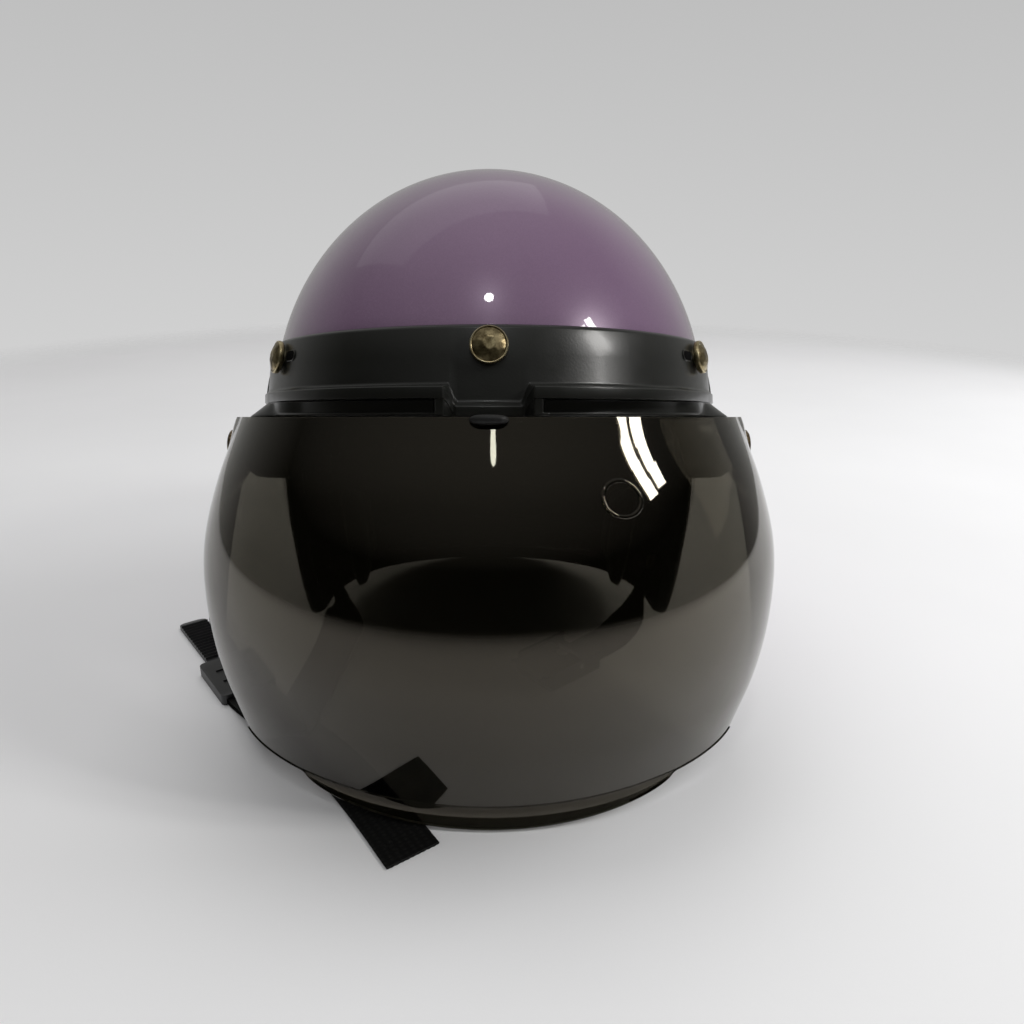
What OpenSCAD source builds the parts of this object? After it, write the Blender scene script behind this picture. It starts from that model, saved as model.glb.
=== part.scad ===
// Open-face helmet with a flip-up bubble visor. It lies tipped back on the lip of its
// visor and the rear edge of its shell, with the chin strap open on the floor.
// The face looks along -Y, the wearer's left is +X and +Z is up. The origin is on the
// floor, straight below the middle of the shell's widest line.

/* [Shell] */
// Half of the shell's width
shell_half_w = 118; // [116:0.5:120]
// Half of the shell's length
shell_half_l = 142; // [140:0.5:144]
// Height of the crown above the widest line
crown_h = 127; // [124:0.5:130]
// Height over which the lower walls draw in: a larger number is straighter
skirt_h = 210; // [200:5:230]
// Thickness of the shell wall
shell_t = 3.2; // [2.8:0.1:3.4]
// Thickness of the foam liner
foam_t = 24; // [20:1:26]
// Thickness of the crown comfort liner
comfort_t = 8; // [6:1:9]

/* [Stance] */
// Angle by which the helmet tips back
tip_back = 13.5; // [13.4:0.1:13.6]
// Height of the widest line above the floor
centre_h = 134.4; // [134.4:0.1:135]

/* [Visor] */
// Height of the shield's top edge, from the widest line
visor_top = -4; // [-5:0.5:-4]
// Height of the shield's bottom edge at the chin, from the widest line
visor_bottom = -164.5; // [-164.5:0.5:-162]
// Thickness of the shield
visor_t = 2; // [1.8:0.1:2.4]
// Height of the down-turned lip at the chin
lip_h = 9; // [8:0.5:9]
// Outer face of the shield's ears, from the middle plane
ear_x = 121.2; // [121.2:0.2:123]
// Pivot place along Y
pivot_y = -74; // [-76:0.5:-73]
// Pivot place along Z
pivot_z = -18; // [-20:0.5:-17]

/* [Visor frame] */
// Height of the band's top edge, from the widest line
band_top = 32; // [31:0.5:33]
// Height of the hoods' top ledge, from the widest line
ledge_z = 7; // [6.5:0.5:8]
// Angle from the face at which the band ends
band_end = 82; // [80:1:84]
// How far the air hoods stand out
hood_d = 9; // [7:0.5:10]
// Diameter of the snap caps
cap_d = 15.5; // [15:0.5:16]

/* [Strap] */
// Width of the webbing
web_w = 24; // [22:1:25]
// Thickness of the webbing
web_t = 1.6; // [1.4:0.1:1.7]

/* [Hidden] */
$fn = 48;

// Half of the shell's rim: [angle from the face in degrees, height], face to nape
RIM = [[0, 3], [15, 3], [30, 3], [43, -1], [52, -17], [56, -46], [59, -78], [66, -103],
    [80, -112], [100, -111], [126, -107.5], [153, -106.6], [180, -106.4]];
// Samples between two rim points, and columns all the way round
rim_steps = 3;
half_n = (len(RIM) - 1) * rim_steps;
cols = 2 * half_n;
// Millimetres along the wall for one degree of angle
mm_per_deg = 2.25;

// Shield from top to bottom edge: [half width, front Y, centre Y, rear edge Y]
SHIELD = [[119, -169, -67, -74], [129, -181, -72, -60], [134.5, -188, -77, -62],
    [134, -184, -79, -74], [130, -170, -78, -90], [122, -152, -75, -102]];
shield_cols = 32;
shield_rows = 14;
// How much higher the bottom edge is at its rear corners than at the chin
corner_rise = 17;
// Radii inside and outside which the ear is flat, and blends into the bubble
ear_flat_r = 11;
ear_blend_r = 26;

// Heights and angles of the three snaps
snap_z = 23;
SNAP_ANGLES = [0, 55, -55];
// Face of the frame's pivot bosses, from the middle plane
boss_x = 117.2;
boss_flat_r = 12;
boss_blend_r = 22;
// Diameters of the pivot screw, of its bore in the bush and of the bush
screw_d = 5;
bush_bore_d = 5.1;
bush_d = 9;

// Vector helpers
function unit(v) = v / norm(v);
function mix(a, b, t) = a + (b - a) * t;
function clamp01(t) = max(0, min(1, t));
function ease(t) = let(c = clamp01(t)) c * c * (3 - 2 * c);

// Smooth curve through a list of points, at u from 0 to len - 1
function curve(p, u) =
    let(n = len(p) - 1, i = min(floor(u), n - 1), t = u - i,
        a = i > 0 ? p[i - 1] : 2 * p[0] - p[1], b = p[i], c = p[i + 1],
        d = i + 2 <= n ? p[i + 2] : 2 * p[n] - p[n - 1])
    (2 * b + (c - a) * t + (2 * a - 5 * b + 4 * c - d) * t * t
        + (3 * b - a - 3 * c + d) * t * t * t) / 2;

// Closed skin over equal rings of points, wrapped into a loop or capped at both ends
module loft(rings, wrap = false) {
    n = len(rings);
    m = len(rings[0]);
    sides = [for (i = [0 : n - (wrap ? 1 : 2)], j = [0 : m - 1])
        let(k = (i + 1) % n, l = (j + 1) % m)
        each [[i * m + j, k * m + l, i * m + l], [i * m + j, k * m + j, k * m + l]]];
    caps = wrap ? [] : [for (e = [0, 1], j = [0 : m / 2 - 2])
        let(o = e * (n - 1) * m, a = o + j, b = a + 1, c = o + m - 2 - j, d = c + 1)
        each e == 0 ? [[a, b, c], [a, c, d]] : [[a, c, b], [a, d, c]]];
    polyhedron([for (r = rings) each r], concat(sides, caps));
}

// Point of the helmet's form: angle from the face, angle from the crown, offset
function dome(a, p, d) = [
    (shell_half_w + d) * sin(p) * sin(a),
    -(shell_half_l + d) * sin(p) * cos(a),
    (p < 90 ? crown_h + d : skirt_h) * cos(p)];
function polar_of(z) = acos(z / (z > 0 ? crown_h : skirt_h));
function at(a, z, d) = dome(a, polar_of(z), d);
// Outward unit normal of the form at an angle and height
function form_normal(a, z) =
    let(p = polar_of(z), d = 0.5)
    unit(cross(dome(a, p + d, 0) - dome(a, p - d, 0), dome(a + d, p, 0) - dome(a - d, p, 0)));

// Rim point number i, all round from the face by the wearer's left
function rim_half(i) = curve(RIM, i / rim_steps);
function rim(i) =
    let(k = (i + cols) % cols)
    k <= half_n ? rim_half(k)
        : let(q = rim_half(cols - k)) [360 - q[0], q[1]];
// The same point moved m millimetres into the wall
function rim_in(i, m) =
    let(a = rim(i - 1), b = rim(i + 1), c = rim(i),
        run = ((b[0] - a[0] + 540) % 360 - 180) * mm_per_deg,
        t = unit([run, b[1] - a[1]]))
    [c[0] - m * t[1] / mm_per_deg, c[1] + m * t[0]];

// Layer of the helmet between two offsets, its rim drawn in by inset but never below low
module layer(d_out, d_in, inset, rows, low = -200) {
    edge = [for (i = [0 : cols - 1]) let(e = rim_in(i, inset)) [e[0], max(e[1], low)]];
    function ring(j, d) = [for (e = edge) dome(e[0], polar_of(e[1]) * j / rows, d)];
    rings = concat([for (j = [1 : rows]) ring(j, d_out)],
        [for (j = [rows : -1 : 1]) ring(j, d_in)]);
    pts = concat([for (r = rings) each r], [[0, 0, crown_h + d_out], [0, 0, crown_h + d_in]]);
    top = len(pts) - 2;
    last = (2 * rows - 1) * cols;
    faces = concat(
        [for (i = [0 : 2 * rows - 2], j = [0 : cols - 1])
            let(a = i * cols + j, b = i * cols + (j + 1) % cols)
            each [[a, b, b + cols], [a, b + cols, a + cols]]],
        [for (j = [0 : cols - 1]) [top, (j + 1) % cols, j]],
        [for (j = [0 : cols - 1]) [top + 1, last + j, last + (j + 1) % cols]]);
    polyhedron(pts, faces);
}

// Puts its children in the helmet's tipped place
module worn() {
    translate([0, 0, centre_h]) rotate([-tip_back, 0, 0]) children();
}
// Puts its children on the form, their +Z along its outward normal
module on_form(a, z) {
    n = form_normal(a, z);
    translate(at(a, z, 0)) rotate([0, acos(n[2]), atan2(n[1], n[0])]) children();
}
// Puts its children at both pivots, their +Z outward and 0 at the middle plane
module at_pivots() {
    for (s = [-1, 1]) translate([0, pivot_y, pivot_z]) rotate([0, 90 * s, 0]) children();
}
// Ring or disc standing on its lower face
module disc(d, z0, z1, bore = 0) {
    translate([0, 0, z0]) difference() {
        cylinder(d = d, h = z1 - z0);
        if (bore > 0) translate([0, 0, -1]) cylinder(d = bore, h = z1 - z0 + 2);
    }
}

// Depths along a snap's axis, from the shell's outer face
stud_d = 7;
socket_d = 9;
socket_bore = 6.8;
cap_base = 4.2;
cap_h = 4.4;
// Strap anchors: angle from the face and height of their rivets
anchor_a = 94;
anchor_z = -92;
rivet_d = 5;

module shell() {
    color("#786684") worn() difference() {
        layer(0, -shell_t, 0, 10);
        for (a = SNAP_ANGLES) on_form(a, snap_z) disc(stud_d, -8, 4);
        for (s = [-1, 1]) on_form(s * anchor_a, anchor_z) disc(rivet_d, -8, 4);
    }
}

module edge_trim() {
    lip = 1.5;
    leg = 4;
    gap = 0.6;
    // Channel's outline: offset from the shell's outer face, distance past its rim
    outline = [[gap, -leg], [gap + lip, -leg], [gap + lip, 1], [gap, 2.4], [-shell_t - gap, 2.8],
        [-shell_t - gap - lip, 1.4], [-shell_t - gap - lip, -leg], [-shell_t - gap, -leg],
        [-shell_t - gap, 1.4], [gap, gap]];
    function spot(i) = let(r = rim(i)) at(r[0], r[1], 0);
    function ring(i) =
        let(r = rim(i), n = form_normal(r[0], r[1]), t = unit(spot(i + 1) - spot(i - 1)),
            b = unit(cross(n, t)))
        [for (q = outline) spot(i) + q[0] * n - q[1] * b];
    color("#1b1b1d") worn() loft([for (i = [0 : cols - 1]) ring(i)], true);
}

module foam_liner() {
    color("#3a3a3d") worn() layer(-shell_t - 1.2, -shell_t - foam_t, 30, 8);
}

module crown_liner() {
    outer = -shell_t - foam_t - 1;
    color("#2b2b2e") worn() layer(outer, outer - comfort_t, 38, 6, -28);
}

// Cheek pad: a thick patch under the foam, from the face edge to behind the ear
module cheek_pad(s) {
    outer = -shell_t - foam_t - 2;
    n = 8;
    function pad_t(u, v) = 6 + 13 * pow(max(0, sin(180 * u) * sin(180 * v)), 0.45);
    function ring(u) =
        let(a = mix(64, 106, u), low = mix(-100, -94, u), high = mix(-38, -46, u))
        concat([for (j = [0 : n]) at(s * a, mix(high, low, j / n), outer)],
            [for (j = [n : -1 : 0])
                at(s * a, mix(high, low, j / n), outer - pad_t(u, j / n))]);
    rings = [for (i = [0 : n]) ring(i / n)];
    color("#242427") worn() loft(s > 0 ? rings : [for (i = [n : -1 : 0]) rings[i]]);
}
module cheek_pad_left() { cheek_pad(1); }
module cheek_pad_right() { cheek_pad(-1); }

// Neck roll: a fat bead inside the nape
module neck_roll() {
    n = 24;
    sides = 10;
    function ring(u) =
        let(a = mix(122, 238, u), r = 9 * pow(max(0.08, sin(180 * u)), 0.3),
            c = at(a, -91, -shell_t - foam_t + 3), out = [sin(a), -cos(a), 0])
        [for (j = [0 : sides - 1])
            c + r * (0.95 * cos(-360 * j / sides) * out + [0, 0, 1.1 * sin(-360 * j / sides)])];
    color("#242427") worn() loft([for (i = [0 : n]) ring(i / n)]);
}

// 0 in the notch between the two air hoods, 1 along them
function along_hood(a) = ease((abs(a) - 5.8) / 2);
// How far the air hoods stand out at an angle from the face
function hood(a) = hood_d * along_hood(a) * (1 - ease((abs(a) - 12) / 62));
// How open the hoods' front slots are: 1 open, 0 closed
function slot_open(a) = ease((abs(a) - 9) / 1.5) * (1 - ease((abs(a) - 42) / 10));
// Lowest point of the frame at an angle from the face: the pivot arms hang down
function frame_low(a) = mix(-7, -33, ease((abs(a) - 40) / 12) * (1 - ease((abs(a) - 63) / 11)));
// Draws a frame point out to the face of the pivot boss
function to_boss(p) =
    let(r = norm([p[1] - pivot_y, p[2] - pivot_z]),
        w = 1 - ease((r - boss_flat_r) / (boss_blend_r - boss_flat_r)))
    [mix(p[0], sign(p[0]) * boss_x, w), p[1], p[2]];

module visor_frame() {
    wall_d = 3.5;
    ledge_d = 5.1;
    back_d = 4;
    fascia_h = 4.2;
    sill_drop = 9.2;
    notch_drop = 6.8;
    notch_d = 8;
    // The band lies close to the shell above its ledge, and clears the edge trim below it
    function gap(z) = mix(2.5, 0.4, ease((z - 10) / 3));
    n = 82;
    arm_rows = 4;
    function outer(a) =
        let(k = along_hood(a), open = slot_open(a), end = ease((band_end - abs(a)) / 6),
            top = mix(snap_z + 2, band_top, end), foot = mix(snap_z - 3, ledge_z, end),
            edge = foot - notch_drop * (1 - k), front = mix(notch_d, ledge_d + hood(a), k),
            slot_top = edge - fascia_h, slot_low = min(slot_top - 0.5, foot - sill_drop),
            deep = mix(front - 0.5, back_d, open),
            sill = mix(front - 0.5, back_d + 0.8 * (front - back_d), open),
            low = min(slot_low - 3.2, frame_low(a) + foot - ledge_z))
        concat([[1.6, top + 0.4], [wall_d, top - 1], [wall_d, mix(top, edge, 0.5)],
            [wall_d, edge + 1.5], [front, edge], [front, slot_top], [deep, slot_top - 0.2],
            [deep, slot_low], [sill, slot_low - 0.1], [sill, slot_low - 1.3], [back_d, slot_low - 2.2]],
            [for (j = [1 : arm_rows]) [back_d, mix(slot_low - 2.5, low, j / arm_rows)]]);
    function ring(a) =
        let(q = outer(a), m = len(q) - 1, top = q[0][1] - 0.2, low = q[m][1])
        concat([for (e = q) to_boss(at(a, e[1], e[0]))],
            [for (j = [m : -1 : 0]) let(z = mix(top, low, j / m)) at(a, z, gap(z))]);
    color("#1a1b1a") worn() difference() {
        loft([for (i = [0 : n]) ring(mix(-band_end, band_end, i / n))]);
        for (a = SNAP_ANGLES) on_form(a, snap_z) disc(socket_d, -3, 9);
        at_pivots() disc(screw_d, 90, 130);
        at_pivots() disc(nut_pocket_d, 90, nut_out);
    }
}

module snap_studs() {
    color("#8a7a55") worn() for (a = SNAP_ANGLES) on_form(a, snap_z) rotate_extrude()
        polygon([[0, -shell_t + 0.2], [stud_d / 2, -shell_t + 0.2], [stud_d / 2, 0.2],
            [2.6, 0.6], [2.6, 3.2], [3.2, 4], [3.2, 4.8], [2.6, 5.6], [0, 5.6]]);
}

module snap_sockets() {
    color("#8a7a55") worn() for (a = SNAP_ANGLES) on_form(a, snap_z)
        disc(socket_d, 0.7, cap_base, socket_bore);
}

// Hammered cap over a snap: a low dome with a rolled rim, hollow over the stud
module snap_cap(a) {
    r = cap_d / 2;
    color("#6b5f3c") worn() on_form(a, snap_z) rotate_extrude()
        polygon(concat([[0, cap_base + 2], [socket_d / 2 - 0.6, cap_base + 2],
            [socket_d / 2 - 0.6, cap_base], [r - 0.8, cap_base], [r, cap_base + 0.7]],
            [for (t = [15 : 15 : 90])
                [(r - 0.2) * cos(t), cap_base + 1.2 + (cap_h - 1.2) * sin(t)]]));
}
module snap_cap_center() { snap_cap(0); }
module snap_cap_left() { snap_cap(SNAP_ANGLES[1]); }
module snap_cap_right() { snap_cap(SNAP_ANGLES[2]); }

// Pivot stack, from the inside out: nut, frame boss, bush in the shield, washer, screw head
bush_in = boss_x + 0.4;
bush_out = ear_x + 0.9;
washer_out = bush_out + 1.1;
nut_out = 107.8;
nut_pocket_d = 10.5;
module pivot_screws() {
    head_d = 16;
    head_rim = 1.6;
    head_dome = 2.2;
    color("#4a4236") worn() at_pivots() rotate_extrude()
        polygon(concat([[0, nut_out - 4], [screw_d / 2, nut_out - 4], [screw_d / 2, washer_out],
            [head_d / 2, washer_out], [head_d / 2, washer_out + head_rim]],
            [for (t = [30 : 30 : 90])
                [head_d / 2 * cos(t), washer_out + head_rim + head_dome * sin(t)]]));
}
module pivot_washers() {
    color("#8d8d90") worn() at_pivots() disc(11, bush_out + 0.35, washer_out, screw_d);
}
module pivot_nuts() {
    color("#8d8d90") worn() at_pivots() translate([0, 0, nut_out - 3.5]) difference() {
        cylinder(d = 9.2, h = 3.5, $fn = 6);
        translate([0, 0, -1]) cylinder(d = screw_d, h = 6);
    }
}
module pivot_bushes() {
    color("#202020") worn() at_pivots() difference() {
        union() {
            disc(bush_d, bush_in, bush_out);
            disc(14, bush_in, ear_x - visor_t - 0.3);
            disc(14, ear_x + 0.25, bush_out);
        }
        disc(bush_bore_d, bush_in - 1, bush_out + 1);
    }
}

// Shield surface: u from one ear to the other as -1 to 1, v from top to bottom edge
function shield_raw(u, v) =
    let(q = curve(SHIELD, v * (len(SHIELD) - 1)), deep = q[2] - q[1],
        end = acos((q[2] - q[3]) / deep), a = end * sin(90 * u),
        low = visor_bottom + corner_rise * pow(sin(a), 2),
        p = [q[0] * sin(a), q[2] - deep * cos(a), mix(visor_top, low, v)],
        r = norm([p[1] - pivot_y, p[2] - pivot_z]),
        w = 1 - ease((r - ear_flat_r) / (ear_blend_r - ear_flat_r)))
    abs(a) < 45 ? p : [mix(p[0], sign(p[0]) * ear_x, w), p[1], p[2]];
function shield_normal(u, v) =
    let(d = 0.01, u0 = max(-1, u - d), u1 = min(1, u + d),
        v0 = max(0, v - d), v1 = min(1, v + d))
    unit(cross(shield_raw(u, v1) - shield_raw(u, v0), shield_raw(u1, v) - shield_raw(u0, v)));

module visor_shield() {
    lip_half_w = 80;
    lip_min = 0.6;
    function step(j) = (1 - cos(180 * j / shield_rows)) / 2;
    function ring(u) =
        let(edge = shield_raw(u, 1), n = shield_normal(u, 1),
            fall = lip_min + (lip_h - lip_min) * sqrt(clamp01(1 - pow(edge[0] / lip_half_w, 2))),
            back = unit([edge[0], edge[1] - pivot_y, 0]),
            foot = edge + 0.1 * fall * back - [0, 0, fall])
        concat([for (j = [0 : shield_rows]) shield_raw(u, step(j))], [foot],
            [foot - visor_t * back + [0, 0, 0.2]],
            [for (j = [shield_rows : -1 : 0])
                shield_raw(u, step(j)) - visor_t * shield_normal(u, step(j))]);
    color("#2d2a22", 0.9) worn() difference() {
        loft([for (i = [0 : shield_cols]) ring(mix(-1, 1, i / shield_cols))]);
        at_pivots() disc(bush_d, 110, 130);
    }
}

// Small bumper on the middle of the shield's top edge
module visor_tab() {
    color("#151515") worn() translate([0, SHIELD[0][1] - 0.9, visor_top - 1])
        intersection() {
            cube([15, 8, 4], center = true);
            rotate([90, 0, 0]) cylinder(d = 15, h = 4, center = true);
        }
}

// Flat webbing through stations of [centre, direction across]
module webbing(stations, w = web_w, t = web_t) {
    n = len(stations);
    function along(i) =
        unit(stations[min(i + 1, n - 1)][0] - stations[max(i - 1, 0)][0]);
    function ring(i) =
        let(c = stations[i][0], f = along(i), a0 = stations[i][1],
            a = unit(a0 - f * (a0 * f)), k = cross(f, a))
        [c + a * w / 2 + k * t / 2, c - a * w / 2 + k * t / 2,
            c - a * w / 2 - k * t / 2, c + a * w / 2 - k * t / 2];
    loft([for (i = [0 : n - 1]) ring(i)]);
}
function smooth_stations(p, steps) =
    let(n = (len(p) - 1) * steps)
    [for (i = [0 : n]) [curve([for (q = p) q[0]], i / steps), curve([for (q = p) q[1]], i / steps)]];

// Strap routes on the floor and up to the anchors: [centre, direction across].
// The right strap leaves its anchor, twists flat, folds back and enters the slider.
RIGHT_STRAP = [[[-101.7, -11.4, 48.7], [0, 1, -0.24]], [[-100.4, -12.5, 44], [0, 1, -0.24]],
    [[-98.7, -14, 38], [0, 1, -0.24]], [[-93.7, -16.5, 29.3], [0, 1, -0.24]],
    [[-90, -18.5, 20], [0.1, 1, -0.15]], [[-88, -25, 12.5], [0.6, 0.8, 0]],
    [[-89, -41, 7], [1, 0.3, 0]], [[-92, -66, 3.6], [1, 0, 0]],
    [[-95, -95, 2.9], [1, 0, 0]], [[-98, -122, 3.1], [1, 0, 0]], [[-99.5, -131, 5.6], [1, 0.1, 0]],
    [[-100.5, -129, 8.6], [0.95, 0.3, 0]], [[-108, -116, 8], [0.8, 0.6, 0]],
    [[-118, -103, 5.6], [0.79, 0.61, 0]], [[-127, -91, 2.9], [0.79, 0.61, 0]],
    [[-144, -68.7, 2.7], [0.79, 0.61, 0]]];
// The tail runs from the slider out under the shield's bottom edge
TAIL = [[[-144, -68.7, 0.8], [0.79, 0.61, 0]], [[-125, -94, 0.8], [0.79, 0.61, 0]],
    [[-98, -119, 0.8], [0.71, 0.7, 0]], [[-72, -145, 0.8], [0.7, 0.71, 0]],
    [[-50, -173, 0.8], [0.78, 0.63, 0]], [[-30, -202, 0.8], [0.8, 0.6, 0]]];
LEFT_STRAP = [[[101.7, -11.4, 48.7], [0, 1, -0.24]], [[100.4, -12.5, 44], [0, 1, -0.24]],
    [[98.7, -14, 38], [0, 1, -0.24]], [[93.7, -16.5, 29.3], [0, 1, -0.24]],
    [[90, -19, 20], [-0.1, 1, -0.1]], [[84, -25, 10.5], [-0.45, 0.9, 0]],
    [[74, -34, 4], [-0.6, 0.8, 0]], [[62, -44, 2.7], [-0.65, 0.76, 0]],
    [[50, -54.5, 2.7], [-0.65, 0.76, 0]]];
strap_steps = 3;

module strap_right() { color("#161616") webbing(smooth_stations(RIGHT_STRAP, strap_steps)); }
module strap_tail() { color("#161616") webbing(smooth_stations(TAIL, strap_steps)); }
module strap_left() { color("#161616") webbing(smooth_stations(LEFT_STRAP, strap_steps)); }

// Rivets hold the straps and their plates to the shell
module strap_rivets() {
    color("#2a2a2c") worn() for (s = [-1, 1]) on_form(s * anchor_a, anchor_z) rotate_extrude()
        polygon([[0, -9.1], [4, -9.1], [4, -8.2], [rivet_d / 2, -8.2], [rivet_d / 2, 0],
            [5.5, 0.2], [5.5, 0.8], [4, 1.6], [0, 2]]);
}
module anchor_plates() {
    color("#8d8d90") worn() for (s = [-1, 1]) on_form(s * anchor_a, anchor_z)
        disc(12, -8.1, -6.7, rivet_d);
}

// Flat plate with round corners, standing on z = 0
module round_plate(x0, x1, half_w, r, h) {
    linear_extrude(h) union() {
        translate([x0 + r, -half_w]) square([x1 - x0 - 2 * r, 2 * half_w]);
        translate([x0, -half_w + r]) square([x1 - x0, 2 * half_w - 2 * r]);
        for (x = [x0 + r, x1 - r], y = [-half_w + r, half_w - r]) translate([x, y]) circle(r);
    }
}

// Slider and tongue share a line on the floor, +X outward along it
slider_at = [-125, -94, 0];
slider_turn = 127;
slider_l = 42;
module on_slider() { translate(slider_at) rotate([0, 0, slider_turn]) children(); }

module strap_slider() {
    half_w = 14.5;
    h = 6;
    color("#1b1b1b") on_slider() difference() {
        round_plate(3, slider_l, half_w, 3, h);
        translate([0, -web_w / 2 - 0.4, -1]) cube([slider_l - 8, web_w + 0.8, 4.9]);
        for (x = [12, 24]) translate([x, -9, h - 0.8]) cube([6, 18, 2]);
    }
}

// Ribbed tongue: a saw-toothed bar with a rounded tip
module buckle_tongue() {
    half_w = 8;
    l = 62;
    thick = 2.4;
    tooth = 1.5;
    pitch = 3.5;
    teeth = 14;
    color("#1e1e1e") on_slider() translate([slider_l + 0.2, 0, 0]) {
        intersection() {
            round_plate(0, l, half_w, 5, 8);
            translate([0, half_w, 0]) rotate([90, 0, 0]) linear_extrude(2 * half_w)
                polygon(concat([[0, 0], [l, 0], [l, 1.4], [l - 4, thick]],
                    [for (k = [teeth - 1 : -1 : 0])
                        each [[8.5 + (k + 0.85) * pitch, thick], [8.5 + k * pitch, thick + tooth]]],
                    [[8.4, thick], [0, thick]]));
        }
    }
}

// Ratchet buckle at the end of the left strap, +X along the strap away from its anchor
buckle_at = [53, -52, 0];
buckle_turn = 220.5;
pin_x = 15;
pin_z = 7.4;
pin_d = 3;
module on_buckle() { translate(buckle_at) rotate([0, 0, buckle_turn]) children(); }
module cross_bar(d, half, z = pin_z) {
    translate([pin_x, half, z]) rotate([90, 0, 0]) cylinder(d = d, h = 2 * half);
}

module buckle_body() {
    half_w = 15;
    wall = 2;
    floor_h = 1.7;
    color("#232323") on_buckle() difference() {
        union() {
            round_plate(-1, 38, half_w, 2, floor_h);
            for (s = [-1, 1]) translate([0, s * (half_w - wall / 2) - wall / 2, 0])
                cube([35, wall, 11]);
            translate([0, -half_w + 0.5, 4]) cube([5, 2 * half_w - 1, 1.8]);
        }
        cross_bar(pin_d, half_w + 1);
    }
}
module lever_pin() { color("#8d8d90") on_buckle() cross_bar(pin_d, 15.5); }
module lever_spring() {
    color("#8d8d90") on_buckle() difference() {
        cross_bar(5, 3);
        cross_bar(pin_d + 0.3, 4);
    }
}
// Lever: plate over the pin with a pawl below it and a raised thumb end
module buckle_lever() {
    half_w = 12;
    color("#2b2b2b") on_buckle() difference() {
        translate([0, half_w, 0]) rotate([90, 0, 0]) linear_extrude(2 * half_w)
            polygon([[11, 6], [13, 5], [22, 5.4], [24, 3], [26.5, 3], [27, 6], [38, 6.4], [44, 9],
                [43.4, 10.6], [37, 8.8], [16, 9.8], [12, 9.4]]);
        cross_bar(pin_d + 0.1, half_w + 1);
        translate([pin_x - 5, -3.6, 0]) cube([9.4, 7.2, 14]);
    }
}

shell();
edge_trim();
foam_liner();
crown_liner();
cheek_pad_left();
cheek_pad_right();
neck_roll();
visor_frame();
snap_studs();
snap_sockets();
snap_cap_center();
snap_cap_left();
snap_cap_right();
pivot_screws();
pivot_nuts();
pivot_washers();
visor_shield();
visor_tab();
pivot_bushes();
strap_rivets();
anchor_plates();
strap_right();
strap_tail();
strap_slider();
buckle_tongue();
strap_left();
buckle_body();
buckle_lever();
lever_pin();
lever_spring();
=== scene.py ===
"""Looks of an open-face helmet with a flip-up bubble visor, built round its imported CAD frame.

Lengths are in millimetres up to build(), which turns them into the frame's metres.
"""
import math

import bmesh
import bpy
import numpy as np
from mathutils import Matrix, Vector


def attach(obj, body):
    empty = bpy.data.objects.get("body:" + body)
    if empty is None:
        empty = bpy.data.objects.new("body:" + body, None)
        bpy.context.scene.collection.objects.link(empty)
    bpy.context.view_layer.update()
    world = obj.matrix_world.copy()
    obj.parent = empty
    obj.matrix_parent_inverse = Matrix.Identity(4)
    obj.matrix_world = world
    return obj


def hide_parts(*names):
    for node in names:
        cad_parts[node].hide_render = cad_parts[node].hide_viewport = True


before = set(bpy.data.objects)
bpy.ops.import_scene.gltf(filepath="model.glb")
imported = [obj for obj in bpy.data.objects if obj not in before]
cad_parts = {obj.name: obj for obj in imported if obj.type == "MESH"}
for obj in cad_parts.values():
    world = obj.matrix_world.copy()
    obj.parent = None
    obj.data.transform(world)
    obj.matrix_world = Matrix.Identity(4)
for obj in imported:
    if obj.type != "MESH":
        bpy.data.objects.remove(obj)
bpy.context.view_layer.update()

MM = 0.001
# Points closer than this, in metres, are one point
MERGE_M = 2e-6
scene = bpy.context.scene
scene.view_settings.view_transform = "Standard"

# ---------------------------------------------------------------- the CAD part's form, in mm
HALF_W, HALF_L, CROWN_H, SKIRT_H = 118.0, 142.0, 127.0, 210.0
SHELL_T, FOAM_T = 3.2, 24.0
TIP_BACK, CENTRE_H = 13.5, 134.4
RIM = [(0, 3), (15, 3), (30, 3), (43, -1), (52, -17), (56, -46), (59, -78), (66, -103),
       (80, -112), (100, -111), (126, -107.5), (153, -106.6), (180, -106.4)]
RIM_STEPS = 9
HALF_N = (len(RIM) - 1) * RIM_STEPS
COLS = 2 * HALF_N
MM_PER_DEG = 2.25
VISOR_TOP, VISOR_BOTTOM, VISOR_T, LIP_H = -4.0, -164.5, 2.0, 9.0
SHIELD = [(119, -169, -67, -74), (129, -181, -72, -60), (134.5, -188, -77, -62),
          (134, -184, -79, -74), (130, -170, -78, -90), (122, -152, -75, -102)]
CORNER_RISE = 17.0
EAR_X, EAR_FLAT_R, EAR_BLEND_R = 121.2, 11.0, 26.0
PIVOT_Y, PIVOT_Z = -74.0, -18.0
BOSS_X, BOSS_FLAT_R, BOSS_BLEND_R = 117.2, 12.0, 22.0
BAND_TOP, LEDGE_Z, BAND_END, HOOD_D = 32.0, 7.0, 82.0, 9.0
SNAP_Z, SNAP_ANGLES = 23.0, (0.0, 55.0, -55.0)
CAP_D, CAP_BASE, CAP_H = 15.5, 4.2, 4.4
WEB_W, WEB_T = 24.0, 1.6

TURN = math.radians(-TIP_BACK)
TILT = np.array([[1, 0, 0], [0, math.cos(TURN), -math.sin(TURN)],
                 [0, math.sin(TURN), math.cos(TURN)]])
LIFT = np.array([0, 0, CENTRE_H])


def sind(a):
    return math.sin(math.radians(a))


def cosd(a):
    return math.cos(math.radians(a))


def unit(v):
    return v / np.linalg.norm(v)


def mix(a, b, t):
    return a + (b - a) * t


def ease(t):
    c = min(1.0, max(0.0, t))
    return c * c * (3 - 2 * c)


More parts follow.
